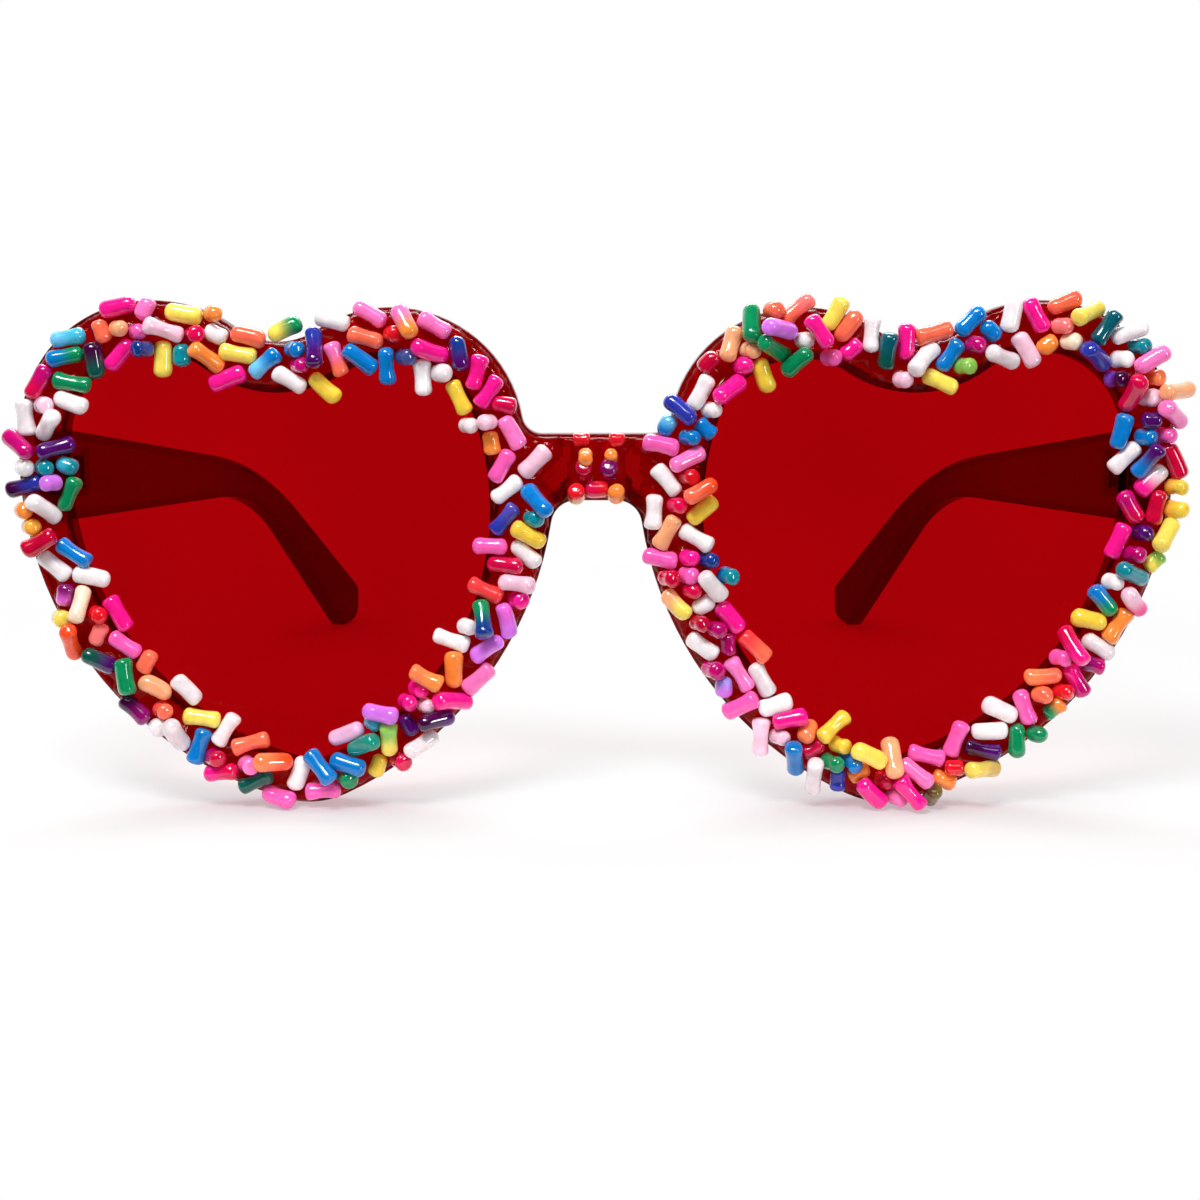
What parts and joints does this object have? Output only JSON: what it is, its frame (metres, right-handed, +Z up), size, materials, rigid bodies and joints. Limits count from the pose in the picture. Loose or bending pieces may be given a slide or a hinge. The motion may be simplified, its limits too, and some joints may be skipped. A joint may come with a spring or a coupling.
{
  "type": "heart shaped sunglasses",
  "caption": "Heart shaped sunglasses: clear red moulded front, flat tinted lenses, folding temples on small screw hinges, and glossy sprinkle beads glued around both rims and on the bridge.",
  "frame": {"origin": "on the surface the open glasses stand on, below the middle of the whole box", "axes": "+Z up, the front faces -Y, the temples run towards +Y, +X is to the right as seen from the front"},
  "size_m": [0.1531, 0.155, 0.0669],
  "materials": {
    "frame": "clear dark red moulding",
    "lens": "clear red tint",
    "temple": "clear dark red moulding",
    "hinge": "dark plated",
    "screw": "satin",
    "glue": "clear, glossy",
    "bead_white": "gloss",
    "bead_palepink": "gloss",
    "bead_pink": "gloss",
    "bead_hotpink": "gloss",
    "bead_crimson": "gloss",
    "bead_coral": "gloss",
    "bead_peach": "gloss",
    "bead_orange": "gloss",
    "bead_yellow": "gloss",
    "bead_green": "gloss",
    "bead_teal": "gloss",
    "bead_blue": "gloss",
    "bead_indigo": "gloss",
    "bead_purple": "gloss",
    "bead_lilac": "gloss"
  },
  "bodies": {
    "front": {"beads_bridge_crimson": "bead_crimson", "beads_bridge_orange": "bead_orange", "beads_bridge_purple": "bead_purple", "beads_left_blue": "bead_blue", "beads_left_coral": "bead_coral", "beads_left_crimson": "bead_crimson", "beads_left_green": "bead_green", "beads_left_hotpink": "bead_hotpink", "beads_left_indigo": "bead_indigo", "beads_left_lilac": "bead_lilac", "beads_left_orange": "bead_orange", "beads_left_palepink": "bead_palepink", "beads_left_peach": "bead_peach", "beads_left_pink": "bead_pink", "beads_left_purple": "bead_purple", "beads_left_teal": "bead_teal", "beads_left_white": "bead_white", "beads_left_yellow": "bead_yellow", "beads_right_blue": "bead_blue", "beads_right_coral": "bead_coral", "beads_right_crimson": "bead_crimson", "beads_right_green": "bead_green", "beads_right_hotpink": "bead_hotpink", "beads_right_indigo": "bead_indigo", "beads_right_lilac": "bead_lilac", "beads_right_orange": "bead_orange", "beads_right_palepink": "bead_palepink", "beads_right_peach": "bead_peach", "beads_right_pink": "bead_pink", "beads_right_purple": "bead_purple", "beads_right_teal": "bead_teal", "beads_right_white": "bead_white", "beads_right_yellow": "bead_yellow", "frame_leaf_left": "hinge", "frame_leaf_right": "hinge", "front_frame": "frame", "glue_bridge": "glue", "glue_left": "glue", "glue_right": "glue", "hinge_screw_left": "screw", "hinge_screw_right": "screw", "lens_left": "lens", "lens_right": "lens"},
    "left_temple": {"temple_leaf_left": "hinge", "temple_left": "temple"},
    "right_temple": {"temple_leaf_right": "hinge", "temple_right": "temple"}
  },
  "joints": [
    {"name": "left_temple_fold", "type": "hinge", "parent": "front", "child": "left_temple", "pos_m": [-0.0698, -0.06584, 0.0428], "axis": [0, 0, -1], "range_deg": [0, 81]},
    {"name": "right_temple_fold", "type": "hinge", "parent": "front", "child": "right_temple", "pos_m": [0.0698, -0.06584, 0.0428], "axis": [0, 0, 1], "range_deg": [0, 75.5]}
  ]
}
